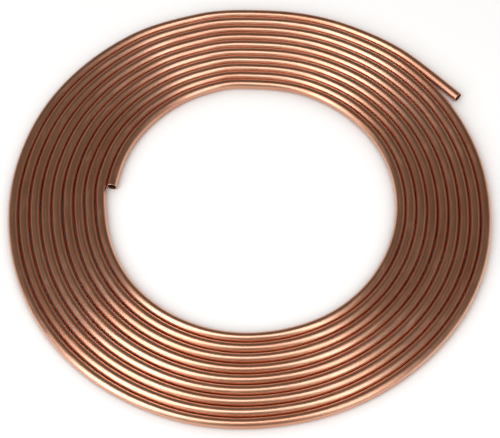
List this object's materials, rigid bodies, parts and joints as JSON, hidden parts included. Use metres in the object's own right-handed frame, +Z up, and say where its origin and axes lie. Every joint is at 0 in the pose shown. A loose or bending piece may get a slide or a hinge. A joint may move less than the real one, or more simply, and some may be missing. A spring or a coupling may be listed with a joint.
{
  "type": "copper tube coil",
  "caption": "Flat single-layer coil of soft copper tube, wound as a spiral with an open eye and a free straight end for a fitting.",
  "frame": {"origin": "middle of the coil's box, on the floor that it lies on", "axes": "+Z up, along the axis that the coil is wound about; the free outer end points between +X and -Y"},
  "size_m": [0.4416, 0.4479, 0.0095],
  "materials": {
    "copper": "drawn and annealed copper, satin, lightly tarnished"
  },
  "bodies": {
    "root": {"copper_tube_coil": "copper"}
  },
  "joints": []
}
